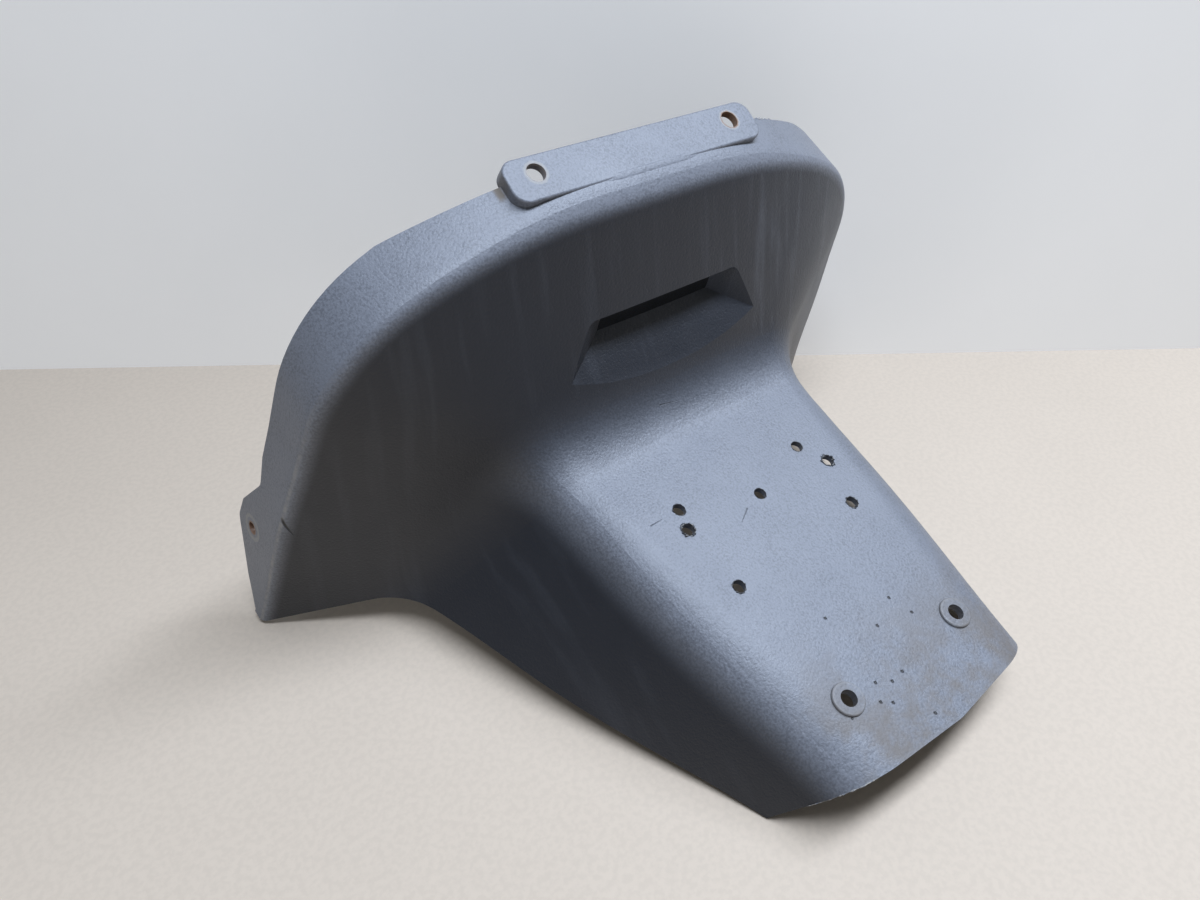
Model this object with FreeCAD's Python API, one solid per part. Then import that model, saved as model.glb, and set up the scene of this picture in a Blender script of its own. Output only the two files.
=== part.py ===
"""Rear splash guard, one moulded plastic piece, in millimetres.

The wall is drawn in the guard's own frame: the rim lies in the plane y = 0 with its feet at z = 0,
the arched face runs forward from the rim to a level tongue, and the flange runs back from the rim.
The finished solid is then leaned to the way it stands on a floor, on its two wing tips and the
tongue's two end corners, with its origin under the middle of its box.
"""

import FreeCAD
import Part

import math
import os

from FreeCAD import Vector

NODE = "splash_guard"

# Wall
wall = 2.5
crease_radius = 4.5
crease_radius_crown = 14.0
knee_radius_middle = 27.0
knee_radius_foot = 42.0

# Rim, the arch where the face and the flange meet
rim_half_width = 161.0
rim_height = 166.8
rim_side_lean = 12.6
rim_side_bulge = 1.4
rim_crown_radius = 420.0
rim_corner_radius = 66.0

# Knee, the arch where the face would meet the tongue without its rounding
tongue_height = 92.4
knee_front = 39.0
knee_half_width = 62.0
knee_foot_half_width = 112.5
knee_foot_height = 26.8
knee_foot_front = 30.0
knee_corner_radius = 15.0
flat_crown_radius = 6000.0

# Tongue end
tongue_reach = 193.7
end_half_width = 46.5
end_foot_half_width = 64.0
end_foot_height = 59.6
end_corner_radius = 26.0
end_plan_sweep = 0.07
end_undercut = 0.33
tongue_side_bow = 1.4
end_tip_radius = 14.0

# Flange behind the rim, before and after its trimming
flange_stock_depth = 32.0
flange_flare = 0.17
flange_flare_from = 70.0
flange_flare_full = 150.0
flange_depth_top = 17.0
flange_depth_shoulder = 23.3
flange_depth_side = 20.4
flange_shoulder_drop = 9.0
flange_top_rise = 8.0
flange_side_height = 78.0

# Ears, the lobes low on the flange's sides
ear_foot_depth = 5.9
ear_foot_height = 1.5
ear_belly_depth = 15.6
ear_belly_height = 14.0
ear_low_depth = 28.2
ear_low_height = 38.0
ear_shoulder_depth = 26.8
ear_shoulder_height = 48.5
ear_lobe_radius = 4.0
ear_notch_depth = 17.6
ear_notch_height = 66.0
ear_notch_radius = 5.0
ear_hole_depth = 17.5
ear_hole_height = 41.3
ear_hole_diameter = 4.8

# Tab on top of the flange
tab_half_length = 57.0
tab_slope = 19.0
tab_hole_depth = 15.6
tab_hole_height = 176.6
tab_front = 9.8
tab_back = 6.8
tab_thickness = 3.0
tab_corner_radius = 5.5
tab_edge_round = 0.8
tab_hole_spacing = 90.0
tab_hole_diameter = 7.0
tab_skirt = 16.0
swell_half_width = 20.0
swell_fade = 85.0
swell_below_tab = 0.35

# Bosses and holes of the tongue's plate
boss_spacing = 60.6
boss_from_rim = 166.8
boss_diameter = 12.0
boss_proud = 1.0
boss_hole_diameter = 6.0
drill_diameter = 5.0
drill_places = (
    (31.8, -81.2),
    (38.6, -92.8),
    (1.4, -90.5),
    (32.2, -112.3),
    (-31.8, -80.2),
    (-34.5, -88.6),
    (-33.8, -115.9),
)

# Lamp window, a scoop in the face with a slot at its back
window_top_height = 134.0
window_top_half_width = 35.5
window_corner_height = 115.3
window_corner_half_width = 47.8
window_sag = 6.8
window_ahead = 6.0
window_corner_radius = 9.0
slot_half_width = 28.0
slot_top_height = 133.0
slot_bottom_height = 122.7
slot_front = 14.0
slot_sag = 0.5
slot_corner_radius = 1.0
scoop_inset = 0.4
scoop_room = 50.0

# Room that a cutting shape has beyond what it cuts
TRIM_CLEARANCE = 20.0

# Samples of the wall's grid
CROWN_STEPS = 9
CORNER_STEPS = 10
SIDE_STEPS = 9
FLANGE_STEPS = 18
CREASE_STEPS = 7
FACE_STEPS = 7
KNEE_STEPS = 11
TONGUE_STEPS = 12
STEP_ASIDE = 1e-4
TILE_POINTS = 7
UNDER_REACH = 0.15
UNDER_STEPS = 36
UNDER_CREASE_STEPS = 4
SCOOP_REACH = 0.142
SCOOP_STEPS = 24
SCOOP_FROM = 1.5
SCOOP_TO = 3.7
SEWING = 1e-3
BOX_TOLERANCE = 0.05

UP = Vector(0, 0, 1)
ACROSS = Vector(1, 0, 0)


def blend(a, b, t):
    return a + (b - a) * t


def arch_point(part, t, half_foot, foot_height, height, crown_radius, corner_radius, side_lean, bulge=0.0):
    """Right half of an arch: part 0 is its crown, 1 its corner and 2 its side, t from 0 to 1 in each."""
    lean = math.radians(side_lean)
    inward = (-math.cos(lean), -math.sin(lean))
    centre_z = height - crown_radius
    reach = crown_radius - corner_radius
    # The corner's centre lies one corner radius inside the side line and the crown's circle.
    base_x = half_foot + corner_radius * inward[0]
    base_z = foot_height + corner_radius * inward[1]
    along = (-math.sin(lean), math.cos(lean))
    half_b = base_x * along[0] + (base_z - centre_z) * along[1]
    rest = base_x**2 + (base_z - centre_z) ** 2 - reach**2
    run = -half_b + math.sqrt(half_b**2 - rest)
    corner_x = base_x + run * along[0]
    corner_z = base_z + run * along[1]
    crown_end = math.atan2(corner_x, corner_z - centre_z)
    side_start = math.pi / 2 - lean
    if part == 0:
        angle = crown_end * t
        return crown_radius * math.sin(angle), centre_z + crown_radius * math.cos(angle)
    if part == 1:
        angle = blend(crown_end, side_start, t)
        return corner_x + corner_radius * math.sin(angle), corner_z + corner_radius * math.cos(angle)
    out = bulge * math.sin(math.pi * t) ** 2
    x = corner_x - corner_radius * inward[0] + (half_foot - corner_x + corner_radius * inward[0]) * t
    z = corner_z - corner_radius * inward[1] + (foot_height - corner_z + corner_radius * inward[1]) * t
    return x - out * inward[0], z - out * inward[1]


def lean_between(low_x, low_z, high_x, high_z):
    """Degrees from upright of the side that runs from an arch's foot to its shoulder."""
    return math.degrees(math.atan2(low_x - high_x, high_z - low_z))


KNEE_LEAN = lean_between(knee_foot_half_width, knee_foot_height, knee_half_width, tongue_height)
END_LEAN = lean_between(end_foot_half_width, end_foot_height, end_half_width, tongue_height)


def across(u):
    """Side sign, arch part and place in it for u from 0 at the left foot to 1 at the right foot."""
    side = 1.0 if u >= 0.5 else -1.0
    place = abs(u - 0.5) * 6.0
    part = min(2, int(place))
    return side, part, place - part


def rim_point(side, part, t):
    x, z = arch_point(
        part, t, rim_half_width, 0.0, rim_height, rim_crown_radius, rim_corner_radius, rim_side_lean, rim_side_bulge
    )
    return Vector(side * x, 0, blend(z, tab_plane(0) - swell_below_tab, swell(x)))


def knee_point(side, part, t):
    x, z = arch_point(
        part, t, knee_foot_half_width, knee_foot_height, tongue_height, flat_crown_radius, knee_corner_radius, KNEE_LEAN
    )
    down = (tongue_height - z) / (tongue_height - knee_foot_height)
    return Vector(side * x, -blend(knee_front, knee_foot_front, down), z)


def end_point(side, part, t):
    x, z = arch_point(
        part, t, end_foot_half_width, end_foot_height, tongue_height, flat_crown_radius, end_corner_radius, END_LEAN
    )
    return Vector(side * x, -tongue_reach + end_plan_sweep * x + end_undercut * (tongue_height - z), z)


def ease(t):
    """Smooth step from 0 to 1."""
    t = max(0.0, min(1.0, t))
    return t * t * (3 - 2 * t)


def swell(x):
    """How far the crown has risen to lie flush with the tab, 1 in the middle and 0 towards the sides."""
    return 1.0 - ease((abs(x) - swell_half_width) / swell_fade)


def tab_plane(y):
    """Height of the tab's top plane."""
    return tab_hole_height + (y - tab_hole_depth) * math.tan(math.radians(tab_slope))


def flange_end(rim):
    """The flange's stock edge behind a point of the rim, flared outward towards the top."""
    flare = flange_flare * ease((rim.z - flange_flare_from) / (flange_flare_full - flange_flare_from))
    flare = blend(flare, math.tan(math.radians(tab_slope)), swell(rim.x))
    return rim + Vector(0, flange_stock_depth, flange_stock_depth * flare)


def rounded(before, corner, after, radius, t):
    """Point at t of the arc that rounds a corner of a path, and the arc's two ends."""
    a = (before - corner).normalize()
    b = (after - corner).normalize()
    half = math.acos(max(-1.0, min(1.0, a.dot(b)))) / 2
    reach = radius / math.tan(half)
    start = corner + a * reach
    finish = corner + b * reach
    centre = corner + (a + b).normalize() * (radius / math.sin(half))
    turn = math.pi - 2 * half
    angle = turn * t
    from_centre = (start - centre) * math.cos(angle) - a * (radius * math.sin(angle))
    return start, centre + from_centre, finish


def surface_point(u, v):
    """Outer surface: u across the arch, v in five parts from the flange's edge to the tongue's end."""
    side, part, t = across(u)
    rim = rim_point(side, part, t)
    knee = knee_point(side, part, t)
    end = end_point(side, part, t)
    flange = flange_end(rim)
    down = (part + t) / 3.0
    knee_radius = blend(knee_radius_middle, knee_radius_foot, down)
    stage = min(4, int(v))
    s = v - stage
    bend_radius = blend(crease_radius, crease_radius_crown, swell(rim.x))
    crease_start, crease, crease_finish = rounded(flange, rim, knee, bend_radius, s)
    if stage == 0:
        return flange + (crease_start - flange) * s
    if stage == 1:
        return crease
    knee_start, bend, knee_finish = rounded(rim, knee, end, knee_radius, s)
    if stage == 2:
        return crease_finish + (knee_start - crease_finish) * s
    if stage == 3:
        return bend
    bow = tongue_side_bow * math.sin(math.pi * s) ** 2
    along = knee_finish + (end - knee_finish) * s
    return along + Vector(bow * along.x / end_half_width, 0, 0)


def normal(u, v):
    """Outward normal of the outer surface."""
    along_u = surface_point(min(1.0, u + STEP_ASIDE), v) - surface_point(max(0.0, u - STEP_ASIDE), v)
    along_v = surface_point(u, min(5.0, v + STEP_ASIDE)) - surface_point(u, max(0.0, v - STEP_ASIDE))
    return along_v.cross(along_u).normalize()


def steps(parts):
    """Evenly spaced places in each unit-long part, given how many steps each part takes."""
    places = [0.0]
    for start, count in enumerate(parts):
        places += [start + (k + 1) / count for k in range(count)]
    return places


def even(low, high, count):
    return [blend(low, high, k / count) for k in range(count + 1)]


def largest(shape):
    return max(shape.Solids, key=lambda s: s.Volume)


def u_places():
    half = [p / 6.0 for p in steps((CROWN_STEPS, CORNER_STEPS, SIDE_STEPS))]
    return [0.5 - p for p in reversed(half[1:])] + [0.5 + p for p in half]


def skin(us, vs, inset):
    """Grid of points of the outer surface, moved inward by inset."""
    return [[surface_point(u, v) - normal(u, v) * inset for v in vs] for u in us]


def tiles(grid, us, vs):
    """One smooth surface through a grid of points, cut into tiles that meet exactly.

    us and vs are the rows and columns of the grid at which it is cut.
    """
    surface = Part.BSplineSurface()
    surface.interpolate(grid)
    u_knots = surface.getUKnots()
    v_knots = surface.getVKnots()
    # The surface has no knot at its second point from each end.
    u_cuts = [u_knots[0]] + [u_knots[k - 1] for k in us] + [u_knots[-1]]
    v_cuts = [v_knots[0]] + [v_knots[k - 1] for k in vs] + [v_knots[-1]]
    made = []
    for u_low, u_high in zip(u_cuts, u_cuts[1:]):
        row = []
        for v_low, v_high in zip(v_cuts, v_cuts[1:]):
            tile = surface.copy()
            tile.segment(u_low, u_high, v_low, v_high)
            row.append(tile.toShape())
        made.append(row)
    return made


def rim_edges(made):
    """Outer edges of a block of tiles, in a fixed order."""
    edges = []
    for row in made:
        edges.append(lying_on(row[0], 1, 0))
        edges.append(lying_on(row[-1], 1, 1))
    for first, last in zip(made[0], made[-1]):
        edges.append(lying_on(first, 0, 0))
        edges.append(lying_on(last, 0, 1))
    return edges


def lying_on(face, direction, end):
    """Edge of a tile along u (direction 1) or v (direction 0) at the low or high end."""
    low_u, high_u, low_v, high_v = face.Surface.bounds()
    if direction == 1:
        curve = face.Surface.vIso((low_v, high_v)[end])
    else:
        curve = face.Surface.uIso((low_u, high_u)[end])
    return curve.toShape()


def slab(outer, inner):
    """Solid between two grids of points."""
    us = range(TILE_POINTS, len(outer) - TILE_POINTS // 2, TILE_POINTS)
    vs = range(TILE_POINTS, len(outer[0]) - TILE_POINTS // 2, TILE_POINTS)
    outer_tiles = tiles(outer, us, vs)
    inner_tiles = tiles(inner, us, vs)
    faces = [f for made in (outer_tiles, inner_tiles) for row in made for f in row]
    for first, second in zip(rim_edges(outer_tiles), rim_edges(inner_tiles)):
        faces.append(Part.makeRuledSurface(first, second))
    shell = Part.Compound(faces)
    shell.sewShape(SEWING)
    solid = Part.makeSolid(shell.Shells[0])
    if solid.Volume < 0:
        solid.reverse()
    return solid


def shifted(grid, move):
    return [[p + move for p in row] for row in grid]


def side_prism(points, half_width):
    """Prism across the guard from an outline of (y, z) points in its side view."""
    corners = [Vector(-half_width, y, z) for y, z in points]
    outline = Part.makePolygon(corners + corners[:1])
    return Part.Face(outline).extrude(ACROSS * (2 * half_width))


def flange_trim():
    """What is cut from behind the flange: above the ears a plain edge, below them the ears' outline."""
    far = flange_stock_depth + TRIM_CLEARANCE
    low = -TRIM_CLEARANCE
    high = rim_height + flange_top_rise + TRIM_CLEARANCE
    low_lobe = (ear_low_depth, ear_low_height)
    high_lobe = (ear_shoulder_depth, ear_shoulder_height)
    notch = (ear_notch_depth, ear_notch_height)
    outline = [
        (ear_foot_depth, low),
        (ear_foot_depth, ear_foot_height),
        (ear_belly_depth, ear_belly_height),
        low_lobe,
        high_lobe,
        notch,
        (flange_depth_side, flange_side_height),
        (flange_depth_shoulder, rim_height - flange_shoulder_drop),
        (flange_depth_top, rim_height + flange_top_rise),
        (flange_depth_top, high),
        (far, high),
        (far, low),
    ]
    prism = side_prism(outline, rim_half_width + TRIM_CLEARANCE)
    for corners, radius in (((low_lobe, high_lobe), ear_lobe_radius), ((notch,), ear_notch_radius)):
        prism = prism.makeFillet(radius, [edge_across(prism, y, z) for y, z in corners])
    return prism


def edge_across(prism, y, z):
    """The prism's edge that runs across at that place in its side view."""
    return min(prism.Edges, key=lambda e: max((v.Point - Vector(v.X, y, z)).Length for v in e.Vertexes))


def tip_arc():
    """Centre and ends, as (y, z) in the side view, of the arc that rounds the tongue's low corners."""
    foot = end_point(1.0, 2, 1.0)
    above = end_point(1.0, 2, 0.5)
    behind = knee_point(1.0, 2, 1.0)
    corner = Vector(0, foot.y, foot.z)
    up_end = Vector(0, above.y, above.z)
    along = Vector(0, behind.y, behind.z)
    start, middle, finish = rounded(up_end, corner, along, end_tip_radius, 0.5)
    a = (up_end - corner).normalize()
    b = (along - corner).normalize()
    centre = middle + (a + b).normalize() * end_tip_radius
    return corner, start, middle, finish, centre


def trim_tips(body):
    """Round off both low corners of the tongue's end."""
    corner, start, middle, finish, centre = tip_arc()
    away = (corner - centre).normalize() * (3 * wall)
    for side in (-1, 1):
        shift = ACROSS * (side * (end_foot_half_width - 10 * wall))
        points = [p + shift for p in (start, middle, finish, finish + away, corner + away, start + away)]
        arc = Part.Arc(points[0], points[1], points[2]).toShape()
        rest = Part.makePolygon([points[2], points[3], points[4], points[5], points[0]])
        body = body.cut(Part.Face(Part.Wire([arc] + rest.Edges)).extrude(ACROSS * (side * 20 * wall)))
    return body


def tab_frame(shape):
    """Put a shape drawn about the tab's hole line, with z normal to the tab, in its place."""
    shape.rotate(Vector(0, 0, 0), ACROSS, tab_slope)
    shape.translate(Vector(0, tab_hole_depth, tab_hole_height))
    return shape


def tab_block(inset, top, depth, back):
    """Block under the tab's top plane, with rounded plan corners, inset on its front and ends."""
    half = tab_half_length - inset
    front = tab_front - inset
    radius = tab_corner_radius - inset
    block = Part.makeBox(2 * half, front + back, depth, Vector(-half, -front, top - depth))
    uprights = [e for e in block.Edges if abs(e.Vertexes[0].Z - e.Vertexes[1].Z) > depth / 2]
    block = block.makeFillet(radius, uprights)
    if inset == 0.0:
        lid = [e for e in block.Edges if all(abs(v.Z - top) < 0.01 for v in e.Vertexes)]
        block = block.makeFillet(tab_edge_round, lid)
    return tab_frame(block)


def under_flange(inset):
    """Everything below the flange's skin, near the tab."""
    us = even(0.5 - UNDER_REACH, 0.5 + UNDER_REACH, UNDER_STEPS)
    vs = steps((FLANGE_STEPS, CREASE_STEPS))[: FLANGE_STEPS + UNDER_CREASE_STEPS]
    top = skin(us, vs, inset)
    return slab(top, shifted(top, UP * (-2 * tab_skirt)))


def add_tab(body):
    """Tab plate with a skirt down to the flange, moulded hollow behind it."""
    block = tab_block(0.0, 0.0, tab_skirt, tab_back).cut(under_flange(wall / 2))
    body = body.fuse(largest(block))
    hollow = tab_block(wall, -tab_thickness, tab_skirt + TRIM_CLEARANCE, tab_back + TRIM_CLEARANCE)
    body = body.cut(hollow)
    normal_line = Vector(0, -math.sin(math.radians(tab_slope)), math.cos(math.radians(tab_slope)))
    for side in (-1, 1):
        place = Vector(side * tab_hole_spacing / 2, tab_hole_depth, tab_hole_height)
        body = drill(body, place, normal_line, tab_hole_diameter, 4 * tab_thickness)
    return body


def drill(body, place, direction, diameter, reach):
    start = place - direction * (reach / 2)
    return body.cut(Part.makeCylinder(diameter / 2, reach, start, direction))


def add_bosses(body):
    for side in (-1, 1):
        place = Vector(side * boss_spacing / 2, -boss_from_rim, tongue_height - wall / 2)
        boss = Part.makeCylinder(boss_diameter / 2, wall / 2 + boss_proud, place, UP)
        top = [e for e in boss.Edges if e.Curve.TypeId == "Part::GeomCircle" and e.Vertexes[0].Z > place.z + 0.1]
        body = body.fuse(boss.makeFillet(boss_proud * 0.6, top))
        body = drill(body, place, UP, boss_hole_diameter, 6 * wall)
    return body


def face_depth(z):
    """How far in front of the rim's plane the face lies on the centre line."""
    return knee_front * (rim_height - z) / (rim_height - tongue_height)


def window_funnel(grow):
    """Tapered solid from in front of the face back to the slot, grown all round by grow."""
    top = window_top_height + grow
    low = window_corner_height - grow
    sag = low - window_sag
    face = [
        on_face(-window_top_half_width - grow, top),
        on_face(window_top_half_width + grow, top),
        on_face(window_corner_half_width + grow, low),
        on_face(0, sag),
        on_face(-window_corner_half_width - grow, low),
    ]
    half = slot_half_width + grow
    slot = [
        Vector(-half, -slot_front, slot_top_height + grow),
        Vector(half, -slot_front, slot_top_height + grow),
        Vector(half, -slot_front, slot_bottom_height - grow),
        Vector(0, -slot_front, slot_bottom_height - grow - slot_sag),
        Vector(-half, -slot_front, slot_bottom_height - grow),
    ]
    ahead = [in_front(f, f - b) for f, b in zip(face, slot)]
    outer = window_wire(ahead, window_corner_radius + grow)
    inner = window_wire(slot, slot_corner_radius + grow)
    return Part.makeLoft([outer, inner], True, True)


def in_front(point, way):
    """Where a line through a point of the face meets the plane that lies ahead of the face."""
    steepness = knee_front / (rim_height - tongue_height)
    return point + way * (window_ahead / (steepness * way.z - way.y))


def on_face(x, z):
    """Point of the face's middle plane."""
    return Vector(x, -face_depth(z), z)


def window_wire(points, radius):
    """Closed outline with straight top and sides, rounded top corners and a curved bottom."""
    a, b, c, middle, d = points
    left = rounded(d, a, b, radius, 0.5)
    right = rounded(a, b, c, radius, 0.5)
    bottom = Part.BSplineCurve()
    bottom.interpolate([c, middle, d])
    return Part.Wire(
        [
            Part.Arc(*left).toShape(),
            Part.makeLine(left[2], right[0]),
            Part.Arc(*right).toShape(),
            Part.makeLine(right[2], c),
            bottom.toShape(),
            Part.makeLine(d, left[0]),
        ]
    )


def add_window(body):
    """Scoop in the face for the lamp above the plate, open through a slot at its back."""
    us = even(0.5 - SCOOP_REACH, 0.5 + SCOOP_REACH, SCOOP_STEPS)
    vs = even(SCOOP_FROM, SCOOP_TO, SCOOP_STEPS)
    near_skin = skin(us, vs, scoop_inset)
    out_of_face = Vector(0, tongue_height - rim_height, knee_front).normalize()
    front = slab(near_skin, shifted(near_skin, out_of_face * scoop_room))
    scoop = window_funnel(wall).cut(front)
    return body.fuse(largest(scoop)).cut(window_funnel(0.0))


def side_reach(z):
    """Half width of the flange's side at a height."""
    low, high = 0.0, 1.0
    for _ in range(40):
        middle = (low + high) / 2
        if rim_point(1.0, 2, middle).z > z:
            low = middle
        else:
            high = middle
    return rim_point(1.0, 2, low).x


def add_ear_holes(body):
    """One hole square through each ear."""
    lean = math.radians(rim_side_lean)
    for side in (-1, 1):
        place = Vector(side * side_reach(ear_hole_height), ear_hole_depth, ear_hole_height)
        body = drill(body, place, Vector(side * math.cos(lean), 0, math.sin(lean)), ear_hole_diameter, 6 * wall)
    return body


def add_drilled_holes(body):
    """Holes drilled by hand through the tongue's plate."""
    for x, y in drill_places:
        body = drill(body, Vector(x, y, tongue_height), UP, drill_diameter, 6 * wall)
    return body


def resting_lean():
    """Angle that brings the wing tips and the rounded corners of the tongue's end level."""
    centre = tip_arc()[4]
    away = math.hypot(centre.y, centre.z)
    return math.atan2(centre.z, -centre.y) - math.asin(end_tip_radius / away)


def rest(body):
    """Lean the guard to the way it stands and put the middle of its box's base at the origin."""
    body.rotate(Vector(0, 0, 0), ACROSS, math.degrees(resting_lean()))
    points = body.tessellate(BOX_TOLERANCE)[0]
    low = [min(p[k] for p in points) for k in range(3)]
    high = [max(p[k] for p in points) for k in range(3)]
    middle = Vector((low[0] + high[0]) / 2, (low[1] + high[1]) / 2, low[2])
    body.translate(middle * -1)
    print("moved", [round(c, 3) for c in middle], "size", [round(h - l, 2) for l, h in zip(low, high)])
    return body


def build_wall():
    us = u_places()
    vs = steps((FLANGE_STEPS, CREASE_STEPS, FACE_STEPS, KNEE_STEPS, TONGUE_STEPS))
    return slab(skin(us, vs, 0.0), skin(us, vs, wall))


def trim_flange(body):
    return body.cut(flange_trim())


def main():
    os.makedirs("parts", exist_ok=True)
    body = build_wall()
    for work in (trim_flange, trim_tips, add_tab, add_window, add_bosses, add_ear_holes, add_drilled_holes):
        body = largest(work(body))
        print(work.__name__, body.isValid(), round(body.Volume, 1))
    body = rest(body)
    body.exportStep("parts/" + NODE + ".step")


main()
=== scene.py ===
"""Rear splash guard, one worn charcoal moulding on a pale bench, dressed around its solid frame.

Places on the guard are given in its own frame, in millimetres: x across, y back from the rim and
z up from the rim's feet. The guard stands leaned forward by LEAN. In that leaned frame MOVED, in
metres, is the origin of the row frame, which lies under the middle of the guard's box.
"""

import math

import bpy
import numpy as np
from bpy.props import FloatProperty, FloatVectorProperty, PointerProperty
from mathutils import Euler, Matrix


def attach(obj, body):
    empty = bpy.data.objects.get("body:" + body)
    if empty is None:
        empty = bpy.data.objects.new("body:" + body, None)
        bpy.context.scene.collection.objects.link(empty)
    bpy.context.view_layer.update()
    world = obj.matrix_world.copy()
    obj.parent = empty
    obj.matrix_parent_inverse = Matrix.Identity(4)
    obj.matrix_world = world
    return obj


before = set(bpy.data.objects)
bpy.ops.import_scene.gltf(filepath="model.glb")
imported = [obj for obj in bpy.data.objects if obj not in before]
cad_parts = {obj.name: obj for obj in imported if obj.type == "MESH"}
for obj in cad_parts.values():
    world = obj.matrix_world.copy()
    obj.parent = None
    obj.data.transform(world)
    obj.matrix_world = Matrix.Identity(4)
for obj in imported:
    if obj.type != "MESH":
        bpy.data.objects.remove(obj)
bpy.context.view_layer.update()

bl_info = {
    "name": "Rear Splash Guard",
    "version": (1, 0, 0),
    "blender": (4, 5, 0),
    "location": "View3D > Sidebar > Guard",
    "description": "Finishes a worn moulded splash guard and sets its bench and lights",
    "category": "Object",
}

BODY = "root"
NODE = "splash_guard"
LEAN = math.radians(18.702)
MOVED = (0.0, -0.09936, -0.001538)
MM = 0.001
UP = (0.0, 0.0, 1.0)
FULL_TURN = 2.0 * math.pi

# Holes, by the place of their middles
TONGUE_TOP = 92.4
DRILLED_HOLES = (
    (31.8, -81.2),
    (38.6, -92.8),
    (1.4, -90.5),
    (32.2, -112.3),
    (-31.8, -80.2),
    (-34.5, -88.6),
    (-33.8, -115.9),
)
DRILL_RADIUS = 2.5
TAB_SLOPE = math.radians(19.0)
TAB_HOLES = ((-45.0, 15.6, 176.6), (45.0, 15.6, 176.6))
TAB_AXIS = (0.0, -math.sin(TAB_SLOPE), math.cos(TAB_SLOPE))
EAR_LEAN = math.radians(12.6)
EAR_HOLES = ((-152.6, 17.5, 41.3), (152.6, 17.5, 41.3))
EAR_AXES = (
    (-math.cos(EAR_LEAN), 0.0, math.sin(EAR_LEAN)),
    (math.cos(EAR_LEAN), 0.0, math.sin(EAR_LEAN)),
)
PLATE_HOLES = ((-30.3, -166.8, 93.4), (30.3, -166.8, 93.4))

# Marks round the screw holes, by their distances from the hole's line
EAR_RING = {"inner": 4.6, "outer": 5.4, "soft": 0.7, "depth": 3.0}
TAB_RING = {"inner": 3.3, "outer": 4.1, "soft": 0.8, "depth": 1.0}
PLATE_RING = {"inner": 5.4, "outer": 5.8, "soft": 0.5, "depth": 0.9}
PLATE_RING_STRENGTH = 0.4
EAR_STAIN = {"inner": 0.0, "outer": 2.7, "soft": 0.6, "depth": 3.0}
TAB_STAINS = (
    {"inner": 0.0, "outer": 3.62, "soft": 0.3, "depth": 4.0},
    {"inner": 0.0, "outer": 3.75, "soft": 0.3, "depth": 4.0},
)
TAB_STAIN_STRENGTHS = (0.25, 1.0)

# Scratches: start, run, half width and darkness
SCRATCHES = (
    ((-147.9, 0.6, 65.6), (3.4, -3.4, -9.0), 1.0, 1.0),
    ((-45.6, -80.2, 92.4), (9.1, 0.2, 0.0), 0.32, 0.5),
    ((-7.9, -92.9, 92.4), (-6.5, -3.7, 0.0), 0.32, 0.4),
    ((-9.7, -40.3, 97.5), (20.0, -2.7, -1.7), 0.35, 0.4),
    ((-34.0, -172.2, 92.2), (2.6, 1.4, 0.0), 0.45, 0.8),
)

# Small dark pits in the tongue's top
PITS = (
    (-14.9, -141.6),
    (0.0, -154.0),
    (12.7, -148.8),
    (15.9, -157.5),
    (-17.2, -168.1),
    (-5.5, -170.7),
    (-11.5, -171.1),
    (-20.9, -173.8),
    (-17.2, -176.4),
    (-7.0, -187.2),
)
PIT_RUN = (0.5, 0.3, 0.0)
PIT_SIZE = 0.75

# Materials
PLASTIC = "worn_charcoal_plastic"
TORN = "torn_plastic"
FRAYED = "frayed_plastic"
# Painted shade: near-black, dull plastic for the shelf behind the lamp slot, darker than the moulding, so
# that the slot reads as a dark pocket.
SHADED = "shaded_plastic"
PAINTED_SHADE_BLACK = (0.004, 0.004, 0.005)
SCRATCH_BLACK = (0.008, 0.008, 0.009)

# Torn plastic: how much of each burr's reach and height its hole has
BURR_STRENGTHS = (0.45, 1.2, 0.4, 0.8, 0.6, 1.3, 0.7)
BURR_CORNERS = 96
BURR_SEED = 11

# Slivers along chipped edges: path, thickness and seed
TORN_EDGES = {
    "flange_edge_burr": (
        ((58.0, 20.2, 171.8), (66.2, 19.0, 170.1), (75.4, 20.0, 167.2), (82.0, 21.2, 164.4)),
        0.7,
        31,
    ),
    "ear_edge_chip": (
        ((-150.6, 27.9, 43.5), (-149.4, 26.9, 48.2), (-148.4, 24.4, 52.6)),
        0.40,
        32,
    ),
    "end_edge_chip": (
        (
            (-57.0, -183.4, 73.5),
            (-53.4, -185.7, 79.1),
            (-49.6, -187.6, 84.4),
            (-45.0, -189.3, 88.4),
            (-40.3, -190.2, 90.4),
            (-33.0, -191.2, 92.0),
        ),
        0.42,
        33,
    ),
}
SLIVER_STEPS = 60
SLIVER_CORNERS = 8

# Drilled holes with shreds in them: place, number of shreds and their reach
TORN_HOLES = (
    (38.6, -92.8, 9, 2.0),
    (-34.5, -88.6, 8, 1.7),
    (32.2, -112.3, 4, 1.1),
    (-33.8, -115.9, 3, 0.8),
)
SHRED_STEPS = 14
SHRED_THICKNESS = 0.34
SHRED_SEED = 60
SHRED_PLACES_SEED = 51

# Shelf behind the lamp slot
SHELF_HALF_LENGTH = 38.0
SHELF_BACK = (-17.0, -4.2)
SHELF_HEIGHT = (117.3, 120.0)
SHELF_END = 3.0
SHELF_ROWS = 60
SHELF_COLUMNS = 28

# Fairing in front of the tab, on the tab's slope
TAB_FRONT = -9.8
TAB_BEND_START = -6.56
TAB_BEND_RADIUS = 14.0
TAB_STEP = 0.33
FAIRING_HALF_WIDTH = 36.0
FAIRING_FULL_HALF_WIDTH = 14.0
FAIRING_OVERLAP = 1.6
FAIRING_REACH = 4.4
FAIRING_COVER = 0.03
FAIRING_SINK = 0.9
FAIRING_THICKNESS = 0.8
FAIRING_ROWS = 73
FAIRING_COLUMNS = 25

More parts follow.
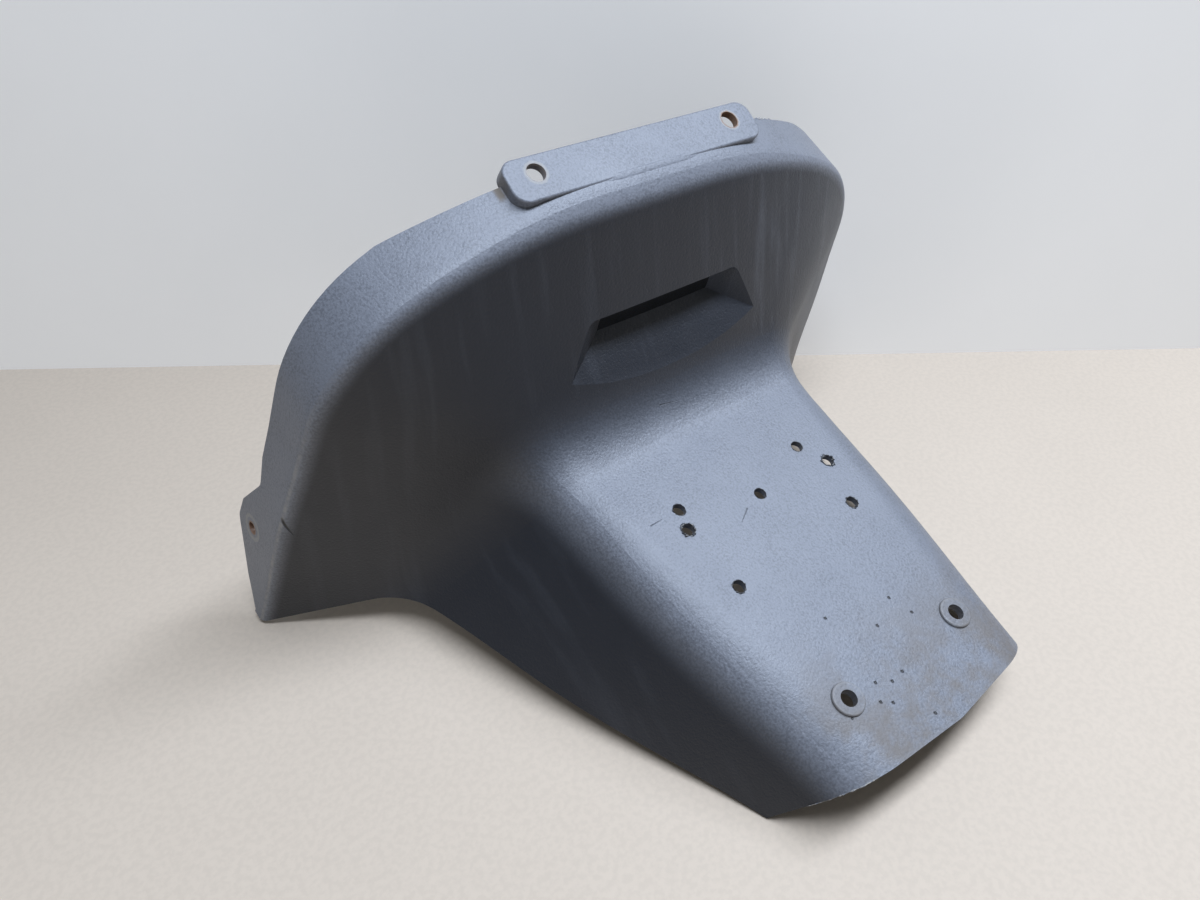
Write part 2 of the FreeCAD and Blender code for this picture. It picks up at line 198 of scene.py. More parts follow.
# Stage
BENCH_HALF_SIZE = 3.0
WALL_NORMAL = np.array([0.5974, 0.8021, 0.0])
WALL_DISTANCE = 0.186
WALL_HALF_LENGTH = 3.0
WALL_HEIGHT = 1.5
WALL_GLOW = 0.2
SKY_COLOUR = (0.86, 0.93, 1.0, 1)
SKY_SEEN = 0.62
STRIP_PLACE = (0.25, -0.20, 1.10)
STRIP_SIZE = (1.5, 0.26)
STRIP_COLOUR = (0.85, 0.96, 1.14)
CAMERA_PLACE = (-0.21185, -0.18109, 0.27983)
CAMERA_TURN = (52.807, -0.227, -39.005)
CAMERA_LENS = 26.986
CAMERA_SENSOR = 36.0
CAMERA_NEAR = 0.01


def number(name, description, default, **settings):
    """Property that holds one number."""
    return FloatProperty(name=name, description=description, default=default, **settings)


def colour(name, description, default):
    """Property that holds one linear colour."""
    return FloatVectorProperty(
        name=name, description=description, default=default, subtype="COLOR", size=3, min=0, max=1
    )


class GuardSizes(bpy.types.PropertyGroup):
    """Sizes of the guard's fine detail, in mm."""

    grain: number("Grain", "Width of one cell of the moulded grain", 0.85)
    grain_depth: number("Grain depth", "Depth of the moulded grain", 0.12)
    burr_height: number("Burr height", "Height of the torn plastic round a drilled hole", 0.5)
    burr_reach: number("Burr reach", "How far a burr lies out from its hole", 0.8)
    crease_wear: number("Crease wear", "Half width of the rubbed stripe along the crease", 1.2)


class GuardColours(bpy.types.PropertyGroup):
    """Colours of the guard, linear."""

    plastic: colour("Plastic", "The moulding's own charcoal", (0.011, 0.013, 0.019))
    # Painted sheen: this grey lightens the up-facing tops for the overhead lamp's glare as well as for real
    # sun fade; the frayed slivers take it too.
    bleached_and_sheen: colour("Bleached", "Plastic faded by sun and dust", (0.185, 0.197, 0.228))
    rubbed: colour("Rubbed", "Plastic rubbed pale at edges and round screws", (0.37, 0.355, 0.33))
    rust: colour("Rust", "Rust that screws left in their holes", (0.20, 0.10, 0.045))
    dirt: colour("Dirt", "Road dirt", (0.150, 0.124, 0.098))


class StageLooks(bpy.types.PropertyGroup):
    """Bench, backdrop and lights."""

    bench: colour("Bench", "The bench's pale paper", (0.67, 0.565, 0.455))
    wall: colour("Wall", "The backdrop", (0.86, 0.85, 0.83))
    key_power: number("Key power", "Power of the long lamp overhead", 20.0, subtype="POWER")
    room_light: number("Room light", "Strength of the light from all round", 0.17)


def to_row(points):
    """Points of the guard's own frame, in mm, as row frame metres: turned by LEAN about x, then moved."""
    p = np.asarray(points, float).reshape(-1, 3) * MM
    c, s = math.cos(LEAN), math.sin(LEAN)
    y = p[:, 1] * c - p[:, 2] * s
    z = p[:, 1] * s + p[:, 2] * c
    return np.stack([p[:, 0], y, z], 1) - np.array(MOVED)


def grid_faces(rows, columns, wrap_rows=True):
    """Quads of a grid whose columns wrap round, and its rows too if asked, as four corners each."""
    r = np.arange(rows if wrap_rows else rows - 1)
    rr, cc = np.meshgrid(r, np.arange(columns), indexing="ij")
    nr, nc = (rr + 1) % rows, (cc + 1) % columns
    here, next_row = rr * columns, nr * columns
    return np.stack([here + cc, next_row + cc, next_row + nc, here + nc], -1).reshape(-1, 4)


def tube_faces(rows, columns, first=0):
    """Faces of a closed tube: its quads and a cap at each end, with corners counted from first."""
    ring = np.arange(columns)
    caps = np.stack([ring[::-1], ring + (rows - 1) * columns])
    return (grid_faces(rows, columns, wrap_rows=False) + first).tolist() + (caps + first).tolist()


def new_piece(name, points, faces, material):
    """Mesh object from own-frame points in mm, riding on the guard's body."""
    mesh = bpy.data.meshes.new(name)
    mesh.from_pydata(to_row(points).tolist(), [], faces)
    mesh.polygons.foreach_set("use_smooth", np.ones(len(mesh.polygons), bool))
    mesh.validate()
    mesh.update()
    piece = bpy.data.objects.new(name, mesh)
    bpy.context.scene.collection.objects.link(piece)
    mesh.materials.append(bpy.data.materials[material])
    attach(piece, BODY)


class Graph:
    """Short calls that add nodes to one node tree and join them."""

    def __init__(self, tree):
        self.tree = tree

    def put(self, socket, value):
        """Join a socket to a value that is a socket, or set the socket to it."""
        if isinstance(value, bpy.types.NodeSocket):
            self.tree.links.new(value, socket)
        elif value is not None:
            socket.default_value = value

    def node(self, kind, **settings):
        """New node with some of its settings."""
        made = self.tree.nodes.new(kind)
        for key, value in settings.items():
            setattr(made, key, value)
        return made

    def fill(self, made, values):
        """Put values into a node's named sockets. Gives its outputs."""
        for name, value in values.items():
            self.put(made.inputs[name], value)
        return made.outputs

    def maths(self, operation, a, b=None, c=None, clamp=False):
        """Result of a sum on numbers."""
        made = self.node("ShaderNodeMath", operation=operation, use_clamp=clamp)
        for socket, value in zip(made.inputs, (a, b, c)):
            self.put(socket, value)
        return made.outputs[0]

    def times(self, total, *factors):
        """Product of all the values."""
        for factor in factors:
            total = self.maths("MULTIPLY", total, factor)
        return total

    def strongest(self, masks):
        """Largest of the masks at each place."""
        total = masks[0]
        for mask in masks[1:]:
            total = self.maths("MAXIMUM", total, mask)
        return total

    def vector(self, operation, a, b=None, scale=None):
        """Result of a sum on vectors."""
        made = self.node("ShaderNodeVectorMath", operation=operation)
        self.put(made.inputs[0], a)
        self.put(made.inputs[1], b)
        if scale is not None:
            self.put(made.inputs["Scale"], scale)
        gives_number = operation in ("DOT_PRODUCT", "LENGTH", "DISTANCE")
        return made.outputs["Value" if gives_number else "Vector"]

    def smooth(self, value, low, high, bottom=0.0, top=1.0):
        """Soft step from bottom to top while the value goes from low to high."""
        made = self.node("ShaderNodeMapRange", interpolation_type="SMOOTHSTEP")
        values = {"Value": value, "From Min": low, "From Max": high, "To Min": bottom, "To Max": top}
        return self.fill(made, values)["Result"]

    def noise(self, vector, scale, detail=3.0, roughness=0.55):
        """Cloudy noise from 0 to 1."""
        values = {"Vector": vector, "Scale": scale, "Detail": detail, "Roughness": roughness}
        return self.fill(self.node("ShaderNodeTexNoise"), values)["Fac"]

    def cells(self, vector, scale):
        """Distance from the middle of the nearest rounded cell."""
        made = self.node("ShaderNodeTexVoronoi", feature="SMOOTH_F1")
        return self.fill(made, {"Vector": vector, "Scale": scale})["Distance"]

    def mix(self, factor, a, b):
        """Colour between a and b. Either is a socket or a linear colour."""
        made = self.node("ShaderNodeMix", data_type="RGBA")
        a, b = ((*each, 1) if isinstance(each, tuple) else each for each in (a, b))
        return self.fill(made, {"Factor": factor, "A": a, "B": b})["Result"]

    def group(self, tree, **values):
        """Outputs of a node group with its sockets filled."""
        made = self.node("ShaderNodeGroup", node_tree=tree)
        return self.fill(made, {name.capitalize(): value for name, value in values.items()})

    def bump(self, shader, height, depth):
        """Raise a shader's surface by a height map, depth in mm for one unit."""
        made = self.node("ShaderNodeBump")
        made.inputs["Distance"].default_value = depth * MM
        self.put(made.inputs["Height"], height)
        self.put(shader.inputs["Normal"], made.outputs["Normal"])


def new_group(name, inputs, outputs):
    """Empty shader node group with named sockets. Gives its graph, its inputs and its outputs."""
    tree = bpy.data.node_groups.new(name, "ShaderNodeTree")
    for direction, sockets in (("INPUT", inputs), ("OUTPUT", outputs)):
        for socket, kind in sockets.items():
            tree.interface.new_socket(socket, in_out=direction, socket_type="NodeSocket" + kind)
    graph = Graph(tree)
    return graph, graph.node("NodeGroupInput").outputs, graph.node("NodeGroupOutput").inputs


def new_material(name):
    """Material with nodes. Gives it, its graph and its shader."""
    material = bpy.data.materials.new(name)
    material.use_nodes = True
    return material, Graph(material.node_tree), material.node_tree.nodes["Principled BSDF"]


def own_frame_group():
    """Object coordinates turned back to the guard's own frame, in mm."""
    graph, _, out = new_group("Guard own frame", {}, {"Place": "Vector"})
    place = graph.node("ShaderNodeTexCoord").outputs["Object"]
    turn = graph.node("ShaderNodeVectorRotate", rotation_type="X_AXIS")
    turned = graph.fill(turn, {"Vector": graph.vector("ADD", place, MOVED), "Angle": -LEAN})["Vector"]
    graph.put(out["Place"], graph.vector("SCALE", turned, scale=1.0 / MM))
    return graph.tree


def grain_group():
    """Moulded leather grain: rounded cells with creases between them and a finer tooth on top."""
    sway_scale = 0.5
    sway_reach = 0.5
    tooth_share = 2.6
    tooth_height = 0.7
    graph, given, out = new_group("Moulded grain", {"Place": "Vector", "Size": "Float"}, {"Height": "Float"})
    place = given["Place"]
    scale = graph.maths("DIVIDE", 1.0, given["Size"])
    sway = graph.fill(graph.node("ShaderNodeTexNoise"), {"Vector": place, "Scale": sway_scale})["Color"]
    bent = graph.vector("ADD", place, graph.vector("SCALE", sway, scale=sway_reach))
    cells = graph.cells(bent, scale)
    tooth = graph.noise(place, graph.times(scale, tooth_share), 2.0)
    rounded = graph.maths("SUBTRACT", 1.0, graph.times(cells, cells))
    graph.put(out["Height"], graph.maths("MULTIPLY_ADD", tooth, tooth_height, rounded))
    return graph.tree


def hole_wear_group():
    """Mark round a hole: 1 between two distances from the hole's line, softened, near one place along it."""
    wobble = 1.2
    wobble_scale = 0.8
    lengths = {name: "Float" for name in ("Inner", "Outer", "Soft", "Depth")}
    inputs = {"Place": "Vector", "Centre": "Vector", "Axis": "Vector", **lengths}
    graph, given, out = new_group("Mark round a hole", inputs, {"Mask": "Float"})
    inner, outer, soft = given["Inner"], given["Outer"], given["Soft"]
    away = graph.vector("SUBTRACT", given["Place"], given["Centre"])
    along = graph.vector("DOT_PRODUCT", away, given["Axis"])
    side = graph.vector("SUBTRACT", away, graph.vector("SCALE", given["Axis"], scale=along))
    uneven = graph.maths("SUBTRACT", graph.noise(given["Place"], wobble_scale), 0.5)
    ragged = graph.maths("MULTIPLY_ADD", uneven, wobble, graph.vector("LENGTH", side))
    rise = graph.smooth(ragged, graph.maths("SUBTRACT", inner, soft), inner)
    fall = graph.smooth(ragged, outer, graph.maths("ADD", outer, soft), 1.0, 0.0)
    near = graph.maths("LESS_THAN", graph.maths("ABSOLUTE", along), given["Depth"])
    graph.put(out["Mask"], graph.times(rise, fall, near))
    return graph.tree


def scratch_group():
    """Mark along a straight scratch: 1 on the line between two places, fading at its width."""
    widest = 1.15
    core = 0.3
    inputs = {"Place": "Vector", "Start": "Vector", "Run": "Vector", "Width": "Float"}
    graph, given, out = new_group("Scratch", inputs, {"Mask": "Float"})
    run = given["Run"]
    away = graph.vector("SUBTRACT", given["Place"], given["Start"])
    along = graph.vector("DOT_PRODUCT", away, run)
    share = graph.maths("DIVIDE", along, graph.vector("DOT_PRODUCT", run, run), clamp=True)
    distance = graph.vector("DISTANCE", away, graph.vector("SCALE", run, scale=share))
    taper = graph.times(given["Width"], graph.maths("SUBTRACT", widest, share))
    graph.put(out["Mask"], graph.smooth(distance, graph.times(taper, core), taper, 1.0, 0.0))
    return graph.tree


def fading_and_sheen(graph, place, x, y, z):
    """How much lighter than charcoal the plastic is. The up-facing tops behind the crease and on the tongue
    are lightened most, partly real sun fade and partly painted sheen that stands in for the overhead lamp's
    glare on them; elsewhere by dust and streaks.

    Dust and streaks grow towards the right. The streaks are noise drawn out down the face. All of it
    is broken up by wide clouds and by a fine speckle.
    """
    crease_edge = (-3.5, 0.5)
    tongue_rise = (74.0, 91.5)
    tongue_start = (-26.0, -60.0)
    dust_across, dust_most = (-40.0, 150.0), 0.13
    streaks_across, streak_strengths = (-20.0, 90.0), (0.05, 0.22)
    streak_scales, streak_edge = (0.16, 0.02, 0.012), (0.5, 0.72)
    cloud_scale, cloud_share = 0.07, 0.5
    speckle_scale, speckle_edge, speckle_share = 1.15, (0.3, 0.7), 0.45
    least_tone = 0.5
    # Painted sheen, partly real sun fade: the up-facing flange behind the crease and the tongue's top are
    # made lighter.
    fade_and_sheen_behind_crease = graph.smooth(y, *crease_edge)
    fade_and_sheen_on_tongue = graph.times(graph.smooth(z, *tongue_rise), graph.smooth(y, *tongue_start))
    dust = graph.smooth(x, *dust_across, 0.0, dust_most)
    drawn_out = graph.noise(graph.vector("MULTIPLY", place, streak_scales), 1.0, 4.0)
    streaks = graph.smooth(drawn_out, *streak_edge)
    streaks = graph.times(streaks, graph.smooth(x, *streaks_across, *streak_strengths))
    faded_and_sheen = graph.strongest((fade_and_sheen_behind_crease, fade_and_sheen_on_tongue, graph.maths("ADD", dust, streaks)))
    speckle = graph.smooth(graph.noise(place, speckle_scale, 2.0), *speckle_edge)
    tone = graph.maths("MULTIPLY_ADD", speckle, speckle_share, least_tone)
    tone = graph.maths("MULTIPLY_ADD", graph.noise(place, cloud_scale, 5.0), cloud_share, tone)
    return graph.maths("MULTIPLY", faded_and_sheen, tone, clamp=True)


def crease_stripe(graph, place, y, z, half_width):
    """Broken pale stripe just behind the crease, low on the sides."""
    line, core = 0.8, 0.2
    height_range = (140.0, 70.0)
    break_scale, break_edge = 0.3, (0.2, 0.7)
    from_line = graph.maths("ABSOLUTE", graph.maths("SUBTRACT", y, line))
    stripe = graph.smooth(from_line, core, half_width, 1.0, 0.0)
    broken = graph.smooth(graph.noise(place, break_scale, 4.0), *break_edge)
    return graph.times(stripe, graph.smooth(z, *height_range), broken)


def marks_round_holes(graph, ring, place, marks):
    """Strongest of some marks, each given by its hole's place and axis, its band and its strength."""
    masks = []
    for centre, axis, band, strength in marks:
        mask = graph.group(ring, place=place, centre=centre, axis=axis, **band)["Mask"]
        masks.append(graph.times(mask, strength))
    return graph.strongest(masks)


def rubbed_rings(graph, ring, place):
    """Pale rings that screw heads and brackets rubbed."""
    marks = [(centre, axis, EAR_RING, 1.0) for centre, axis in zip(EAR_HOLES, EAR_AXES)]
    marks += [(centre, TAB_AXIS, TAB_RING, 1.0) for centre in TAB_HOLES]
    marks += [(centre, UP, PLATE_RING, PLATE_RING_STRENGTH) for centre in PLATE_HOLES]
    return marks_round_holes(graph, ring, place, marks)


def rust_stains(graph, ring, place):
    """Rust on the walls of the tab's and the ears' holes."""
    marks = [
        (centre, TAB_AXIS, band, strength)
        for centre, band, strength in zip(TAB_HOLES, TAB_STAINS, TAB_STAIN_STRENGTHS)
    ]
    marks += [(centre, axis, EAR_STAIN, 1.0) for centre, axis in zip(EAR_HOLES, EAR_AXES)]
    return marks_round_holes(graph, ring, place, marks)


def road_dirt(graph, place, x, y, z):
    """Dirt in clouds towards the tongue's end, and in the corner at the tab's left root."""
    towards_end = (-135.0, -188.0)
    on_top = (86.0, 92.0)
    cloud_scale, cloud_edge, strength = 0.06, (0.36, 0.62), 0.7
    root_x, root_edge = -58.5, (0.5, 2.2)
    root_back = (12.0, 15.0)
    root_height = (165.0, 170.0)
    clouds = graph.smooth(graph.noise(place, cloud_scale, 6.0, 0.65), *cloud_edge)
    soil = graph.times(graph.smooth(y, *towards_end), graph.smooth(z, *on_top), clouds, strength)
    from_root = graph.maths("ABSOLUTE", graph.maths("SUBTRACT", x, root_x))
    root = graph.smooth(from_root, *root_edge, 1.0, 0.0)
    root = graph.times(root, graph.smooth(y, *root_back), graph.smooth(z, *root_height))
    return graph.maths("MAXIMUM", soil, root)


def dark_marks(graph, scratch, place):
    """Scratches and pits."""
    masks = []
    for start, run, width, strength in SCRATCHES:
        mark = graph.group(scratch, place=place, start=start, run=run, width=width)["Mask"]
        masks.append(graph.times(mark, strength))
    for across, back in PITS:
        start = (across, back, TONGUE_TOP)
        masks.append(graph.group(scratch, place=place, start=start, run=PIT_RUN, width=PIT_SIZE)["Mask"])
    return graph.strongest(masks)


def plastic_material(kit, sizes, colours):
    """Worn charcoal plastic: grained, lighter in patches from sun fade and from painted sheen on the
    up-facing tops, rubbed at the crease and round the screws.
    """
    crease_strength, ring_strength, rust_strength = 0.62, 0.6, 0.85
    least_roughness, roughness_sway, worn_roughness = 0.37, 0.14, 0.2
    sway_scale = 0.05
    specular = 0.6
    scratch_depth = 4.0
    grain_lost = 0.7
    material, graph, shader = new_material(PLASTIC)
    place = graph.group(kit["frame"])["Place"]
    parts = graph.node("ShaderNodeSeparateXYZ")
    graph.put(parts.inputs[0], place)
    x, y, z = (parts.outputs[axis] for axis in "XYZ")

    crease = crease_stripe(graph, place, y, z, sizes.crease_wear)
    rings = rubbed_rings(graph, kit["ring"], place)
    rubbed = graph.maths("MAXIMUM", graph.times(crease, crease_strength), graph.times(rings, ring_strength))
    soil = road_dirt(graph, place, x, y, z)
    rust = graph.times(rust_stains(graph, kit["ring"], place), rust_strength)
    dark = dark_marks(graph, kit["scratch"], place)
    # Painted sheen and sun fade: the tops behind the crease and on the tongue get the lighter grey.
    base = graph.mix(fading_and_sheen(graph, place, x, y, z), tuple(colours.plastic), tuple(colours.bleached_and_sheen))
    base = graph.mix(rubbed, base, tuple(colours.rubbed))
    base = graph.mix(soil, base, tuple(colours.dirt))
    base = graph.mix(rust, base, tuple(colours.rust))
    base = graph.mix(dark, base, SCRATCH_BLACK)
    graph.put(shader.inputs["Base Color"], base)

    sway = graph.noise(place, sway_scale, 4.0)
    roughness = graph.maths("MULTIPLY_ADD", sway, roughness_sway, least_roughness)
    worn = graph.maths("MAXIMUM", soil, rubbed)
    roughness = graph.maths("MULTIPLY_ADD", worn, worn_roughness, roughness)
    graph.put(shader.inputs["Roughness"], roughness)
    shader.inputs["Specular IOR Level"].default_value = specular

    grain = graph.group(kit["grain"], place=place, size=sizes.grain)["Height"]
    worn_flat = graph.maths("SUBTRACT", 1.0, graph.times(rubbed, grain_lost))
    height = graph.maths("SUBTRACT", graph.times(grain, worn_flat), graph.times(dark, scratch_depth))
    graph.bump(shader, height, sizes.grain_depth)
    return material


def torn_material(kit, name, sound, stretched, least, specular):
    """Plastic torn by a drill or broken at an edge: whitened in spots where it stretched."""
    spot_scale, spot_edge = 1.1, 0.24
    tear_scale, tear_depth = 3.0, 0.08
    least_roughness, whitened_roughness = 0.5, 0.2
    _, graph, shader = new_material(name)
    place = graph.group(kit["frame"])["Place"]
    whitened = graph.smooth(graph.noise(place, spot_scale, 4.0), least, least + spot_edge)
    roughness = graph.maths("MULTIPLY_ADD", whitened, whitened_roughness, least_roughness)
    graph.put(shader.inputs["Base Color"], graph.mix(whitened, tuple(sound), tuple(stretched)))
    graph.put(shader.inputs["Roughness"], roughness)
    shader.inputs["Specular IOR Level"].default_value = specular
    graph.bump(shader, graph.noise(place, tear_scale, 4.0), tear_depth)


class GUARD_OT_finish(bpy.types.Operator):
    """Give the moulding its worn, grained plastic"""

    bl_idname = "guard.finish"
    bl_label = "Worn plastic"

    def execute(self, context):
        kit = {
            "frame": own_frame_group(),
            "grain": grain_group(),
            "ring": hole_wear_group(),
            "scratch": scratch_group(),
        }
        colours = context.scene.guard_colours
        material = plastic_material(kit, context.scene.guard_sizes, colours)
        torn_material(kit, TORN, colours.plastic, colours.rubbed, least=0.48, specular=0.5)
        # The frayed slivers sit on the lighter tops, so they take the grey that also holds the painted
        # sheen.
        torn_material(kit, FRAYED, colours.bleached_and_sheen, colours.rubbed, least=0.34, specular=0.5)
        # Painted shade: the lamp shelf gets near-black, dull plastic instead of the moulding's own charcoal.
        torn_material(kit, SHADED, PAINTED_SHADE_BLACK, colours.plastic, least=0.4, specular=0.1)
        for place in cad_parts[NODE].material_slots:
            place.material = material
        return {"FINISHED"}


def tab_fairing():
    """Thin closed skin over the step in front of the tab.

    On the tab's slope, v runs back and n up. The skin's height eases from the tab's top, n = 0, to the
    flange, which lies TAB_STEP lower and bends down along a circle of TAB_BEND_RADIUS. Towards its ends
    across, the skin sinks into both, so the step comes out of it little by little.
    """
    back_end = TAB_FRONT + FAIRING_OVERLAP
    front_end = TAB_FRONT - FAIRING_REACH
    x = np.linspace(-FAIRING_HALF_WIDTH, FAIRING_HALF_WIDTH, FAIRING_ROWS)[:, None]
    v = np.linspace(front_end, back_end, FAIRING_COLUMNS)[None, :]
    bend = np.clip(TAB_BEND_START - v, 0.0, None)
    flange = -TAB_STEP - TAB_BEND_RADIUS + np.sqrt(TAB_BEND_RADIUS**2 - bend**2)
    share = np.clip((back_end - v) / (back_end - front_end), 0.0, 1.0)
    ease = share**2 * (3.0 - 2.0 * share)
    outward = (np.abs(x) - FAIRING_FULL_HALF_WIDTH) / (FAIRING_HALF_WIDTH - FAIRING_FULL_HALF_WIDTH)
    sink = np.clip(outward, 0.0, 1.0)
    top = ease * flange + FAIRING_COVER - FAIRING_SINK * sink**2 * (3.0 - 2.0 * sink)
    low = np.minimum(top, flange) - FAIRING_THICKNESS
    v_all = np.concatenate([v, v[:, ::-1]], 1) + 0.0 * x
    n_all = np.concatenate([top, low[:, ::-1]], 1)
    c, s = math.cos(TAB_SLOPE), math.sin(TAB_SLOPE)
    y = TAB_HOLES[0][1] + v_all * c - n_all * s
    z = TAB_HOLES[0][2] + v_all * s + n_all * c
    points = np.stack([x + 0.0 * v_all, y, z], -1)
    return points.reshape(-1, 3), tube_faces(*v_all.shape)


class GUARD_OT_tab_fairing(bpy.types.Operator):
    """Run the tab's front edge smoothly into the flange at its middle"""

    bl_idname = "guard.tab_fairing"
    bl_label = "Tab fairing"

    def execute(self, context):
        new_piece("tab_fairing", *tab_fairing(), PLASTIC)
        return {"FINISHED"}


def lamp_shelf():
    """Rounded slab along x, closed at both ends.

    Its section is a superellipse: round angle a the place is the middle plus the half size times
    cos a or sin a raised to a power below one, sign kept. The section shrinks over the last SHELF_END.
    """
    crowding = 1.6
    least_size = 0.2
    depth_kept = 0.75
    depth_power, height_power = 0.35, 0.6
    x = np.linspace(-1.0, 1.0, SHELF_ROWS)
    x = np.sign(x) * (1.0 - (1.0 - np.abs(x)) ** crowding) * SHELF_HALF_LENGTH
    a = np.linspace(0.0, FULL_TURN, SHELF_COLUMNS, endpoint=False)[None, :]
    to_end = np.clip((SHELF_HALF_LENGTH - np.abs(x)) / SHELF_END, 0.0, 1.0)[:, None]
    size = least_size + (1.0 - least_size) * np.sqrt(1.0 - (1.0 - to_end) ** 2)
    middle = np.mean([SHELF_BACK, SHELF_HEIGHT], axis=1)
    half = np.ptp([SHELF_BACK, SHELF_HEIGHT], axis=1) / 2.0
    depth = half[0] * (depth_kept + (1.0 - depth_kept) * size)
    y = middle[0] - depth * np.sign(np.cos(a)) * np.abs(np.cos(a)) ** depth_power
    z = middle[1] + half[1] * size * np.sign(np.sin(a)) * np.abs(np.sin(a)) ** height_power
    points = np.stack([x[:, None] + 0.0 * a, y, z], -1)
    return points.reshape(-1, 3), tube_faces(*y.shape)


class GUARD_OT_lamp_shelf(bpy.types.Operator):
    """Carry the slot's lower wall back as a shallow shelf, the dark surface that the slot shows, in
    near-black plastic as painted shade
    """

    bl_idname = "guard.lamp_shelf"
    bl_label = "Lamp shelf"

    def execute(self, context):
        new_piece("lamp_shelf", *lamp_shelf(), SHADED)
        return {"FINISHED"}


def ragged_ring(radius, reach, height, sides, seed):
    """Lip of torn plastic round a hole, as a closed ring of points about the hole's axis.

    Going round by angle a and across its section by angle b, a point lies at radius + r(a)(1 + cos b)/2
    and height h(a) sin b, where r and h wander with a few waves of random size and phase. Below the
    hole's edge the section is flattened.
    """
    section = 10
    inside = 0.12
    spread_middle, spread_sway, spread_range = 0.55, 0.33, (0.12, 1.25)
    rise_middle, rise_sway, rise_range = 0.42, 0.42, (0.06, 1.5)
    below = 0.25
    rng = np.random.default_rng(seed)
    a = np.linspace(0.0, FULL_TURN, sides, endpoint=False)
    b = np.linspace(0.0, FULL_TURN, section, endpoint=False)
    waves = np.arange(2, 14)[None, :, None]
    phases = rng.uniform(0.0, FULL_TURN, (2, waves.size, 1))
    sizes = rng.uniform(0.2, 1.0, (2, waves.size, 1)) / np.sqrt(waves)
    wander = (sizes * np.sin(waves * a + phases)).sum(1)
    spread = np.clip(spread_middle + spread_sway * wander[0], *spread_range) * reach
    rise = np.clip(rise_middle + rise_sway * wander[1], *rise_range) * height
    radial = radius - inside + spread[:, None] * (1.0 + np.cos(b)) / 2.0
    lift = rise[:, None] * np.sin(b)
    lift = np.where(lift < 0.0, lift * below, lift)
    x = radial * np.cos(a)[:, None]
    y = radial * np.sin(a)[:, None]
    return np.stack([x, y, lift], -1).reshape(-1, 3), grid_faces(sides, section).tolist()


class GUARD_OT_hole_burrs(bpy.types.Operator):
    """Raise torn plastic round each hole that was drilled by hand"""

    bl_idname = "guard.hole_burrs"
    bl_label = "Drilled hole burrs"

    def execute(self, context):
        sizes = context.scene.guard_sizes
        for k, ((x, y), more) in enumerate(zip(DRILLED_HOLES, BURR_STRENGTHS)):
            reach, height = sizes.burr_reach * more, sizes.burr_height * more
            points, faces = ragged_ring(DRILL_RADIUS, reach, height, BURR_CORNERS, BURR_SEED + k)
            new_piece(f"hole_burr_{k + 1}", points + np.array([x, y, TONGUE_TOP]), faces, TORN)
        return {"FINISHED"}


def torn_sliver(path, thickness, seed, steps):
    """Points of a ragged sliver of plastic along a path, as a closed tube.

    At distance s along the path the section is an eight-sided ring of radius r(s), which wanders between
    a tenth of the thickness and all of it, and falls to nothing at both ends.
    """
    tilt = (0.31, 0.2, 0.93)
    ends = (0.002, 0.998)
    least = 0.1
    rng = np.random.default_rng(seed)
    corners = np.asarray(path, float)
    lengths = np.r_[0.0, np.cumsum(np.linalg.norm(np.diff(corners, axis=0), axis=1))]
    s = np.linspace(0.0, 1.0, steps)
    line = np.stack([np.interp(s * lengths[-1], lengths, corners[:, k]) for k in range(3)], 1)
    along = np.gradient(line, axis=0)
    along /= np.linalg.norm(along, axis=1, keepdims=True)
    side = np.cross(along, tilt)
    side /= np.linalg.norm(side, axis=1, keepdims=True)
    rise = np.cross(side, along)
    swell = np.sqrt(np.sin(np.pi * np.clip(s, *ends)))
    radius = thickness * (least + (1.0 - least) * rng.random(steps) ** 2) * swell
    b = np.linspace(0.0, FULL_TURN, SLIVER_CORNERS, endpoint=False)[None, :, None]
    around = np.cos(b) * side[:, None, :] + np.sin(b) * rise[:, None, :]
    return (line[:, None, :] + radius[:, None, None] * around).reshape(-1, 3)


def hole_shreds(rng, x, y, count, reach):
    """Shreds that hang from a drilled hole's edge into it, each a short sliver bent at the edge."""
    edge = DRILL_RADIUS + 0.05
    asides, reaches, rises = (-0.6, 0.6), (0.3, 0.8), (-0.3, 0.5)
    points, faces = [], []
    for k, angle in enumerate(rng.uniform(0.0, FULL_TURN, count)):
        out = np.array([math.cos(angle), math.sin(angle), 0.0])
        aside = np.array([-out[1], out[0], 0.0]) * rng.uniform(*asides)
        root = np.array([x, y, TONGUE_TOP]) + out * edge
        inward = out * rng.uniform(*reaches) * reach
        tip = root - inward + aside + (0.0, 0.0, rng.uniform(*rises))
        path = (root + out * 0.5 * reach, root, tip)
        points.append(torn_sliver(path, SHRED_THICKNESS, SHRED_SEED + k, SHRED_STEPS))
        faces += tube_faces(SHRED_STEPS, SLIVER_CORNERS, k * SHRED_STEPS * SLIVER_CORNERS)
    return np.concatenate(points), faces


class GUARD_OT_torn_edges(bpy.types.Operator):
    """Leave broken slivers along the chipped edges and torn shreds in the worst drilled holes"""

    bl_idname = "guard.torn_edges"
    bl_label = "Torn edges"

    def execute(self, context):
        for name, (path, thickness, seed) in TORN_EDGES.items():
            points = torn_sliver(path, thickness, seed, SLIVER_STEPS)
            new_piece(name, points, tube_faces(SLIVER_STEPS, SLIVER_CORNERS), FRAYED)
        rng = np.random.default_rng(SHRED_PLACES_SEED)
        for k, hole in enumerate(TORN_HOLES):
            new_piece(f"hole_shreds_{k + 1}", *hole_shreds(rng, *hole), TORN)
        return {"FINISHED"}


def plane(name, corners, material):
    """Flat stage sheet."""
    mesh = bpy.data.meshes.new(name)
    mesh.from_pydata([tuple(corner) for corner in corners], [], [(0, 1, 2, 3)])
    mesh.materials.append(material)
    sheet = bpy.data.objects.new(name, mesh)
    bpy.context.scene.collection.objects.link(sheet)


def darker(paint, share):
    """Colour with that share of its brightness."""
    return tuple(part * share for part in paint)


